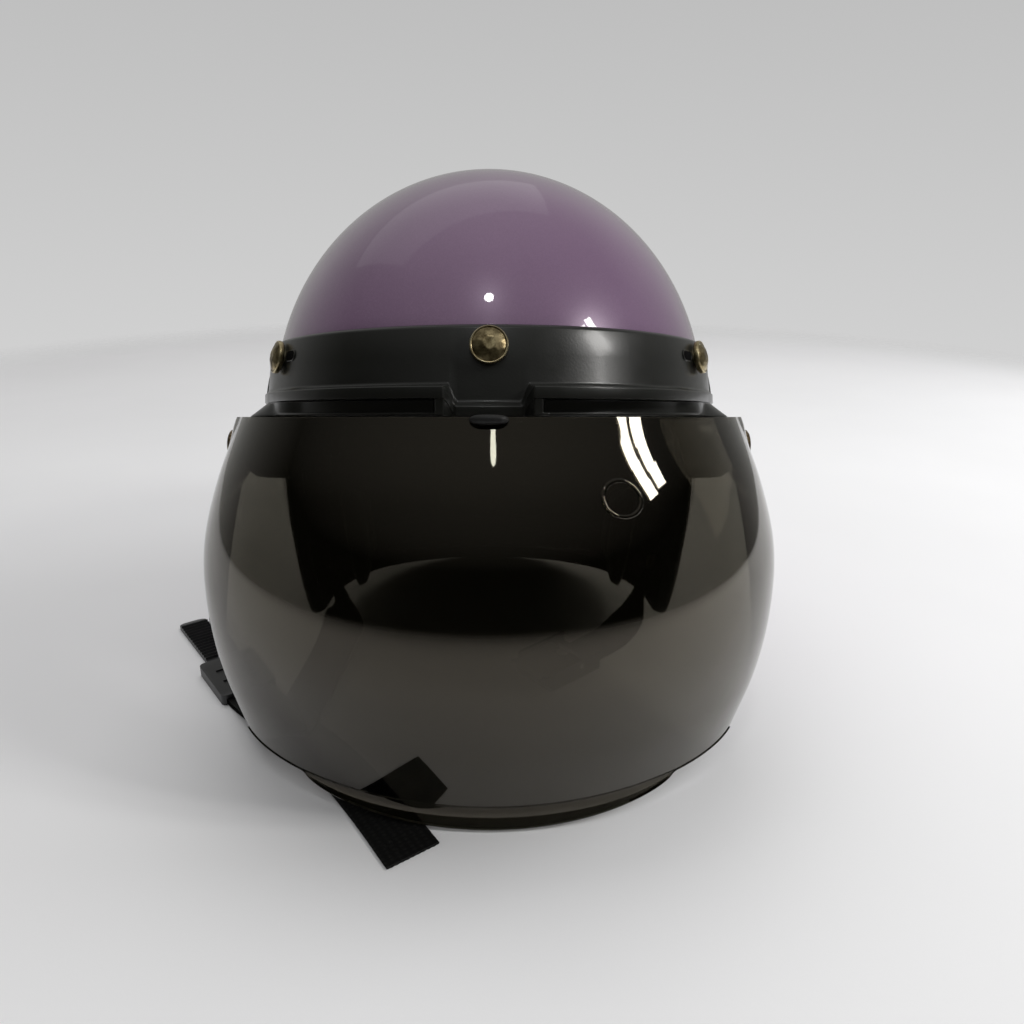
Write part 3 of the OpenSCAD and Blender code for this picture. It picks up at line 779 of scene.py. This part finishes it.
def tab_shape():
    """Rounded rubber bumper clipped over the shield's top edge."""
    c = np.array([0, SHIELD[0][1] - 0.9, VISOR_TOP - 1])
    rings = []
    for x in np.linspace(-1, 1, 33):
        w = math.sqrt(max(0.0, 1 - abs(x) ** 3.2))
        rings.append([c + (7.4 * x, w * 3.8 * abs(cosd(t)) ** 0.6 * math.copysign(1, cosd(t)),
                           w * 1.9 * abs(sind(t)) ** 0.7 * math.copysign(1, sind(t)))
                      for t in np.linspace(0, 360, 28, endpoint=False)])
    return skin(rings, caps=False)


make("shield_tab_soft", tab_shape(), "tab_rubber", body="visor", nodes=("visor_tab",))

# ---------------------------------------------------------------- pivots

BUSH_OUT = EAR_X + 0.9
WASHER_OUT = BUSH_OUT + 1.1
NUT_OUT = 107.8


def screw_shape(s):
    """Pan-head screw with a straight slot and a knurled edge."""
    head_r, shank_r, rim_h, dome_h, steps, rows = 8.0, 2.5, 1.6, 2.2, 96, 30
    rings = []
    for t in np.linspace(0, 360, steps, endpoint=False):
        line = []
        for j in range(rows + 1):
            r = head_r * j / rows
            z = WASHER_OUT + rim_h + dome_h * math.sqrt(max(0, 1 - (r / head_r) ** 2.6)) - 0.05
            if abs(r * sind(t)) < 0.85 and r < 6.4:
                z -= 1.3
            line.append((r * cosd(t), r * sind(t), z))
        edge = head_r + 0.12 * math.cos(math.radians(t * 24))
        line += [(edge * cosd(t), edge * sind(t), WASHER_OUT + rim_h - 0.1),
                 (edge * cosd(t), edge * sind(t), WASHER_OUT + 0.1),
                 (7.6 * cosd(t), 7.6 * sind(t), WASHER_OUT),
                 (shank_r * cosd(t), shank_r * sind(t), WASHER_OUT),
                 (shank_r * cosd(t), shank_r * sind(t), NUT_OUT - 3.8),
                 (2.1 * cosd(t), 2.1 * sind(t), NUT_OUT - 4), (0, 0, NUT_OUT - 4)]
        rings.append(line)
    p, f = skin(rings, wrap=True)
    m = rows + 8
    return moved(p, at_pivot(s)), [q for q in f if q[1] % m != 0]


make("pivot_screws_slotted", join([screw_shape(-1), screw_shape(1)]), "screw_bronze",
     nodes=("pivot_screws",), sharp=30)

# ---------------------------------------------------------------- straps

ROUTES = {
    "right": [((-101.7, -11.4, 48.7), (0, 1, -.24)), ((-100.4, -12.5, 44), (0, 1, -.24)),
              ((-98.7, -14, 38), (0, 1, -.24)), ((-93.7, -16.5, 29.3), (0, 1, -.24)),
              ((-90, -18.5, 20), (.1, 1, -.15)), ((-88, -25, 12.5), (.6, .8, 0)),
              ((-89, -41, 7), (1, .3, 0)), ((-92, -66, 3.6), (1, 0, 0)),
              ((-95, -95, 2.9), (1, 0, 0)), ((-98, -122, 3.1), (1, 0, 0)),
              ((-99.5, -131, 5.6), (1, .1, 0)), ((-100.5, -129, 8.6), (.95, .3, 0)),
              ((-108, -116, 8), (.8, .6, 0)), ((-118, -103, 5.6), (.79, .61, 0)),
              ((-127, -91, 2.9), (.79, .61, 0)), ((-144, -68.7, 2.7), (.79, .61, 0))],
    "tail": [((-144, -68.7, .8), (.79, .61, 0)), ((-125, -94, .8), (.79, .61, 0)),
             ((-98, -119, .8), (.71, .7, 0)), ((-72, -145, .8), (.7, .71, 0)),
             ((-50, -173, .8), (.78, .63, 0)), ((-30, -202, .8), (.8, .6, 0))],
    "left": [((101.7, -11.4, 48.7), (0, 1, -.24)), ((100.4, -12.5, 44), (0, 1, -.24)),
             ((98.7, -14, 38), (0, 1, -.24)), ((93.7, -16.5, 29.3), (0, 1, -.24)),
             ((90, -19, 20), (-.1, 1, -.1)), ((84, -25, 10.5), (-.45, .9, 0)),
             ((74, -34, 4), (-.6, .8, 0)), ((62, -44, 2.7), (-.65, .76, 0)),
             ((50, -54.5, 2.7), (-.65, .76, 0))],
}
# Half the height of the warp cords in the tape's faces
THREAD_H = 0.16


def stations(route):
    """Evenly spaced [centre, along, across, up, distance] down a strap, about 1 mm apart."""
    p, w = [q[0] for q in route], [q[1] for q in route]
    n = len(p) - 1
    fine = np.linspace(0, n, n * 60 + 1)
    c = np.array([curve(p, u) for u in fine])
    run = np.concatenate([[0], np.cumsum(np.linalg.norm(np.diff(c, axis=0), axis=1))])
    out = []
    for s in np.linspace(0, run[-1], int(run[-1]) + 1):
        u = np.interp(s, run, fine)
        e = 0.02
        f = unit(curve(p, min(n, u + e)) - curve(p, max(0, u - e)))
        a = curve(w, u)
        a = unit(a - f * a.dot(f))
        out.append((curve(p, u), f, a, np.cross(f, a), s))
    return out


def webbing(name, route):
    """Woven tape: raised warp cords with a zigzag weft, thick soft edges and a sealed end."""
    half, t = WEB_W / 2, WEB_T / 2
    across = np.linspace(-1, 1, 41)
    rows, lie = [], []
    line = stations(route)
    for c, _, a, k, s in line:
        ring, flat = [], []
        for side in (1, -1):
            for x in across * side:
                edge = math.sqrt(max(0, 1 - max(0, abs(x) - 0.94) ** 2 / 0.06 ** 2))
                cord = math.cos(x * half * 2 * math.pi / 2.4 + (math.pi if int(s / 2) % 2 else 0))
                h = (t - THREAD_H + THREAD_H * cord) * (0.35 + 0.65 * edge)
                ring.append(c + a * x * half + k * side * h)
                flat.append((x * half * MM, s * MM, side * MM))
        rows.append(ring)
        lie += flat
    points, faces = skin(rows)
    o = make(name, (points, faces), "webbing", worn=False, nodes=(name.replace("web", "strap"),),
             sharp=60)
    at_rest = np.array([v.co for v in o.data.vertices])
    order = {tuple(np.round(q * MM, 6)): l for q, l in zip(points, lie)}
    values = np.array([order.get(tuple(np.round(q, 6)), (0, 0, 0)) for q in at_rest], np.float32)
    o.data.attributes.new("lie", "FLOAT_VECTOR", "POINT").data.foreach_set("vector", values.ravel())
    return line


def stitch(c, along, up, length=2.3, r=0.32):
    """One short thread stitch lying on a surface."""
    side = np.cross(up, along)
    rings = []
    for t in np.linspace(0, 180, 7):
        k = max(0.05, sind(t))
        rings.append([c - along * length / 2 * cosd(t) + r * k * (side * cosd(b) + up * sind(b) * 1.1)
                      for b in np.linspace(0, 360, 8, endpoint=False)])
    return skin(rings)


def seam(points, ups, gap=3.2, **size):
    """A row of stitches along a line of points."""
    p = np.asarray(points, float)
    run = np.concatenate([[0], np.cumsum(np.linalg.norm(np.diff(p, axis=0), axis=1))])
    out = []
    for s in np.arange(gap / 2, run[-1], gap):
        c = np.array([np.interp(s, run, p[:, i]) for i in range(3)])
        i = min(len(p) - 2, int(np.searchsorted(run, s)))
        out.append(stitch(c, unit(p[i + 1] - p[i]), ups[i], **size))
    return out


straps = {key: webbing(f"web_{key}", route) for key, route in ROUTES.items()}


def box_stitch(line, s0, s1, lift=WEB_T / 2):
    """Box and cross stitching on a strap between two distances along it."""
    run = [q[4] for q in line]

    def spot(s, x):
        c, a, k = [np.array([np.interp(s, run, [q[n][d] for q in line]) for d in range(3)])
                   for n in (0, 2, 3)]
        return c + a * x + k * lift, k

    inset, n = 9.0, 16
    box = [(s0, -inset), (s1, -inset), (s1, inset), (s0, inset), (s0, -inset), (s1, inset)]
    cross = [(s0, inset), (s1, -inset)]
    out = []
    for path in (box, cross):
        for (sa, xa), (sb, xb) in zip(path, path[1:]):
            both = [spot(mix(sa, sb, i / n), mix(xa, xb, i / n)) for i in range(n + 1)]
            out += seam([q[0] for q in both], [q[1] for q in both], 2.6, length=2.0, r=0.28)
    return out


end_l = straps["left"][-1][4]
make("strap_stitching", join(
    box_stitch(straps["left"], end_l - 22, end_l - 6)
    + box_stitch(straps["right"], 4, 16)), "webbing", "thread", worn=False)

# ---------------------------------------------------------------- soft pieces


def raw_object(name, shape):
    o = bpy.data.objects.new(name, mesh_of(name, *shape, raw=True))
    scene.collection.objects.link(o)
    return o


def frozen(o):
    """The object's mesh with its modifiers applied."""
    bpy.context.view_layer.update()
    return bpy.data.meshes.new_from_object(o.evaluated_get(bpy.context.evaluated_depsgraph_get()))


def coords(me):
    co = np.empty(len(me.vertices) * 3)
    me.vertices.foreach_get("co", co)
    return co.reshape(-1, 3)


def inflate(shapes, pressure=4.0, frames=20):
    """Pads {name: (shape, voxel, cap)} puffed up together by a cloth simulation, each point
    moved at most cap millimetres."""
    raws = {}
    for name, (shape, voxel, cap) in shapes.items():
        o = raw_object(name + "_raw", shape)
        m = o.modifiers.new("Remesh", "REMESH")
        m.mode, m.voxel_size = "VOXEL", voxel * MM
        me = frozen(o)
        o.modifiers.clear()
        o.data = me
        raws[name] = (o, cap, coords(me))
        m = o.modifiers.new("Cloth", "CLOTH")
        m.settings.use_pressure = True
        m.settings.uniform_pressure_force = pressure
        m.settings.effector_weights.gravity = 0
        m.settings.quality = 4
        m.point_cache.frame_start, m.point_cache.frame_end = 1, frames
    for f in range(1, frames + 1):
        scene.frame_set(f)
    done = {}
    for name, (o, cap, rest) in raws.items():
        me = frozen(o)
        co = coords(me)
        if np.isfinite(co).all():
            step = co - rest
            far = np.linalg.norm(step, axis=1, keepdims=True)
            co = rest + step * np.minimum(1, cap * MM / np.maximum(far, 1e-9))
        else:
            co = rest
        me.vertices.foreach_set("co", co.ravel())
        o.modifiers.clear()
        o.data = me
        m = o.modifiers.new("Subdivision", "SUBSURF")
        m.levels = 1
        done[name] = frozen(o)
        bpy.data.objects.remove(o)
    scene.frame_set(1)
    return done


def cheek_shape(s, shrink=2.2):
    outer, n = -SHELL_T - FOAM_T - 3.2, 18

    def ring(u):
        a = mix(64 + shrink, 106 - shrink, u)
        low, high = mix(-100, -94, u) + shrink, mix(-38, -46, u) - shrink
        t = [5 + 11.5 * max(0, sind(180 * u) * sind(180 * j / n)) ** 0.45 for j in range(n + 1)]
        return ([at(s * a, mix(high, low, j / n), outer) for j in range(n + 1)]
                + [at(s * a, mix(high, low, j / n), outer - t[j]) for j in range(n, -1, -1)])
    return skin([ring(i / n) for i in range(n + 1)])


def roll_shape():
    n, sides = 60, 16
    rings = []
    for i in range(n + 1):
        u = i / n
        a = mix(124, 236, u)
        r = 7.4 * max(0.08, sind(180 * u)) ** 0.3
        c = at(a, -91, -SHELL_T - FOAM_T + 3)
        out = np.array([sind(a), -cosd(a), 0])
        rings.append([c + r * (0.95 * cosd(360 * j / sides) * out
                               + np.array([0, 0, 1.1 * sind(360 * j / sides)]))
                      for j in range(sides)])
    return skin(rings)


outer_d = -SHELL_T - FOAM_T - 2.4
soft = inflate({
    "crown_quilted": (layer(outer_d, outer_d - 5.6, 39, 24, -27, 24), 4.0, 2.2),
    "cheek_left": (cheek_shape(1), 4.0, 5.0),
    "cheek_right": (cheek_shape(-1), 4.0, 5.0),
    "nape_roll": (roll_shape(), 4.0, 3.0),
})


def kept_inside(me, limit, carve):
    """Presses a pad clear of the foam at offset limit, and carves its sewn channels."""
    q = own_place(coords(me))
    d = offset_of(q)
    over = np.maximum(0, d - limit)
    q *= (1 - over / np.linalg.norm(q, axis=1))[:, None]
    normals = np.empty(len(me.vertices) * 3)
    me.vertices.foreach_get("normal", normals)
    normals = normals.reshape(-1, 3) @ TILT
    angle = np.degrees(np.arctan2(q[:, 0], -q[:, 1]))
    q -= normals * carve(q, angle)[:, None]
    me.vertices.foreach_set("co", ((q @ TILT.T + LIFT) * MM).ravel())
    me.update()
    return me


def crown_carve(q, angle):
    reach = np.hypot(q[:, 0] / HALF_W, q[:, 1] / HALF_L)
    radial = np.abs((angle + 22.5) % 45 - 22.5) * reach * 1.3
    ring_gap = np.abs(reach - 0.42) * 110
    gap = np.where(reach > 0.42, np.minimum(radial, ring_gap), ring_gap)
    return 1.7 * np.exp(-(gap / 2.4) ** 2)


def cheek_carve(q, angle):
    u = (np.abs(angle) - 64) / 42
    v = (q[:, 2] + 42) / -55
    inner = np.abs(np.hypot((u - 0.5) / 0.36, (v - 0.5) / 0.34) - 1) * 12
    return 1.6 * np.exp(-(inner / 1.9) ** 2)


def roll_carve(_, angle):
    gap = np.abs((np.abs(angle) + 9) % 18 - 9) * 1.9
    return 0.9 * np.exp(-(gap / 1.6) ** 2)


FOAM_FACE = -SHELL_T - FOAM_T - 0.6
# The neck roll lies below the foam, so the foam's face is no limit for it
NO_LIMIT = 20.0
SOFT = {
    "crown_quilted": ("crown_liner", "liner_fabric", FOAM_FACE, crown_carve, 0.5),
    "cheek_left": ("cheek_pad_left", "pad_fabric", FOAM_FACE, cheek_carve, 0.8),
    "cheek_right": ("cheek_pad_right", "pad_fabric", FOAM_FACE, cheek_carve, 0.8),
    "nape_roll": ("neck_roll", "pad_fabric", NO_LIMIT, roll_carve, 0.7),
}
for name, (node, slot, limit, carve, fill) in SOFT.items():
    me = kept_inside(soft[name], limit, carve)
    piece(name, me, LOOKS[slot], nodes=(node,), sharp=80)

# ---------------------------------------------------------------- CAD nodes that stay

STAYING = {"snap_studs": "snap_steel", "snap_sockets": "snap_brass", "pivot_nuts": "steel",
           "pivot_washers": "steel", "pivot_bushes": "bush_plastic", "strap_rivets": "screw_bronze",
           "anchor_plates": "steel", "strap_slider": "buckle_plastic",
           "buckle_tongue": "buckle_plastic", "buckle_body": "buckle_plastic",
           "buckle_lever": "lever_plastic", "lever_pin": "steel", "lever_spring": "steel"}
for name, slot in STAYING.items():
    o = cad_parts[name]
    o.data.materials.clear()
    o.data.materials.append(LOOKS[slot])
for name in ("strap_slider", "buckle_tongue", "buckle_body", "buckle_lever"):
    bevel(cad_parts[name], 0.3, 2, 40)

# ---------------------------------------------------------------- studio

def floor_look(middle=(0, 0.5, 0), full_to=0.86, gone_at=1.2):
    """Pale matt floor that fades into the studio's air away from its middle, in metres."""
    k = Look("floor", 0.75)
    k.colour(k.noise(2.5, 3), (0.3, (0.81, 0.815, 0.825)), (0.7, (0.85, 0.855, 0.865)))
    k.bumps((k.noise(1200.0), 0.15, 0.2))
    far = k.add("ShaderNodeVectorMath", {0: k.here, 1: middle},
                operation="DISTANCE").outputs["Value"]
    fade = k.add("ShaderNodeMapRange", {"Value": far, "From Min": full_to, "From Max": gone_at,
                 "To Min": 1.0, "To Max": 0.0}, interpolation_type="SMOOTHSTEP")
    k.tree.links.new(fade.outputs["Result"], k.shader.inputs["Alpha"])
    return k.mat


def floor_disc(radius=2400.0, steps=96, rows=12):
    """Points in mm and faces of a flat disc."""
    p = [(0, 0, 0)]
    for j in range(1, rows + 1):
        r = radius * j / rows
        p += [(r * cosd(360 * i / steps), r * sind(360 * i / steps), 0) for i in range(steps)]
    f = [(0, 1 + i, 1 + (i + 1) % steps) for i in range(steps)]
    for j in range(rows - 1):
        a, b = 1 + j * steps, 1 + (j + 1) * steps
        f += [(a + i, b + i, b + (i + 1) % steps, a + (i + 1) % steps) for i in range(steps)]
    return p, f


p, f = floor_disc()
me = bpy.data.meshes.new("studio_floor")
me.from_pydata((np.array(p) * MM).tolist(), [], f)
me.polygons.foreach_set("use_smooth", [True] * len(me.polygons))
me.materials.append(floor_look())
floor = bpy.data.objects.new("studio_floor", me)
scene.collection.objects.link(floor)


def softbox(name, place, aim, size, watts, colour=(1, 1, 1), shape="RECTANGLE", seen=True):
    """Area light at a place in metres, mirrored by glossy pieces only if seen."""
    light = bpy.data.lights.new(name, "AREA")
    light.shape, light.size, light.size_y = shape, size[0], size[1]
    light.energy, light.color = watts, colour
    o = bpy.data.objects.new(name, light)
    o.location = place
    o.visible_glossy = seen
    o.rotation_euler = (Vector(aim) - Vector(place)).to_track_quat("-Z", "Y").to_euler()
    scene.collection.objects.link(o)


softbox("top", (-0.2, 0.7, 2.1), (0, 0, 0), (2.2, 1.4), 17.5, (1.0, 0.99, 0.98), seen=False)
softbox("sheet", (-0.35, 0.80, 1.40), (0, 0, 0), (1.7, 0.8), 0.8)
for row, height in enumerate((0.86, 1.01, 1.16)):
    for col, ahead in enumerate((-0.42, -0.57)):
        softbox(f"pane_{row}_{col}", (1.20, ahead, height), (0, ahead + 0.6, height - 0.85),
                (0.11, 0.13), 1.2, (1, 0.985, 0.96))
softbox("strip", (0.03, -0.86, 1.12), (0, 0, 0.12), (0.04, 0.10), 0.16, (0.92, 1.0, 1.0), "ELLIPSE")
softbox("lamp", (0.0, -0.50, 1.10), (0, 0, 0.2), (0.08, 0.08), 0.5, shape="ELLIPSE")
softbox("right_fill", (1.35, 0.25, 0.75), (0, 0, 0.1), (0.8, 0.9), 8.0, (0.99, 0.99, 1.0), seen=False)


def studio_air():
    """World: pale air for the camera, an even dome for light, and a dim room in front of the
    helmet with pale sides behind it for the reflections."""
    world = bpy.data.worlds.new("studio")
    scene.world = world
    world.use_nodes = True
    tree = world.node_tree
    tree.nodes.clear()

    def add(kind, **inputs):
        n = tree.nodes.new(kind)
        for key, value in inputs.items():
            socket = n.inputs[key.replace("_", " ")]
            if isinstance(value, bpy.types.NodeSocket):
                tree.links.new(value, socket)
            else:
                socket.default_value = value
        return n

    def ramp(value, low, high, bottom=0.0, top=1.0):
        return add("ShaderNodeMapRange", Value=value, From_Min=low, From_Max=high,
                   To_Min=bottom, To_Max=top).outputs[0]

    split = add("ShaderNodeSeparateXYZ", Vector=add("ShaderNodeTexCoord").outputs["Generated"])
    ahead, up = split.outputs["Y"], split.outputs["Z"]
    pale = tree.nodes.new("ShaderNodeMath")
    pale.operation = "MAXIMUM"
    tree.links.new(ramp(ahead, 0.0, 0.8), pale.inputs[0])
    tree.links.new(ramp(up, 0.38, 1.0), pale.inputs[1])
    tint = tree.nodes.new("ShaderNodeMix")
    tint.data_type = "RGBA"
    tree.links.new(pale.outputs[0], tint.inputs["Factor"])
    tint.inputs["A"].default_value = (0.020, 0.020, 0.014, 1)
    tint.inputs["B"].default_value = (0.36, 0.36, 0.35, 1)
    room = add("ShaderNodeBackground", Color=tint.outputs["Result"])
    dome = add("ShaderNodeBackground", Color=(0.36, 0.355, 0.355, 1))
    air = add("ShaderNodeBackground", Color=ramp(up, -0.12, 0.4, 0.63, 0.46))
    ray = add("ShaderNodeLightPath")
    for factor, other in (("Is Diffuse Ray", dome), ("Is Camera Ray", air)):
        both = tree.nodes.new("ShaderNodeMixShader")
        tree.links.new(ray.outputs[factor], both.inputs[0])
        tree.links.new(room.outputs[0], both.inputs[1])
        tree.links.new(other.outputs[0], both.inputs[2])
        room = both
    out = tree.nodes.new("ShaderNodeOutputWorld")
    tree.links.new(room.outputs[0], out.inputs["Surface"])


studio_air()

# ---------------------------------------------------------------- camera

lens = bpy.data.cameras.new("camera")
lens.sensor_width = 36.0
lens.lens = 27.04
lens.shift_x = 0.0225
camera = bpy.data.objects.new("camera", lens)
camera.location = (0, -0.4405, 0.236)
camera.rotation_euler = (math.radians(90 - 20.54), 0, 0)
scene.collection.objects.link(camera)
scene.camera = camera
